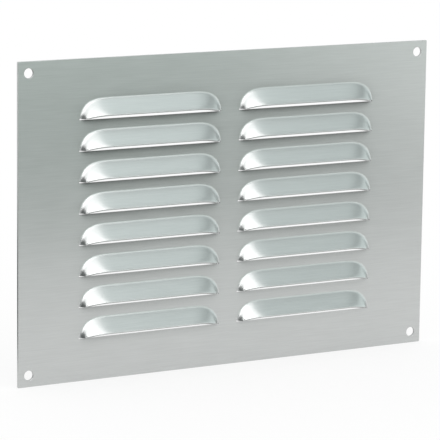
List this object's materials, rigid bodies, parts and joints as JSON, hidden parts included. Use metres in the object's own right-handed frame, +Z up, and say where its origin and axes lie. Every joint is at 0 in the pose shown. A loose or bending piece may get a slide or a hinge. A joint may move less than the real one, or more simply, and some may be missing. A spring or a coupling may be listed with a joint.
{
  "type": "louvred vent",
  "caption": "Rectangular pressed aluminium wall vent with columns of hooded louvres that open downwards and a screw hole in each corner.",
  "frame": {"origin": "middle of the plate's back face, on the wall plane", "axes": "+X along the plate's width, +Y back into the wall, +Z up; the hoods point to -Y and open downwards"},
  "size_m": [0.242, 0.0065, 0.165],
  "materials": {
    "aluminium": "satin mill finish, bare"
  },
  "bodies": {
    "root": {"louvre_plate": "aluminium"}
  },
  "joints": []
}
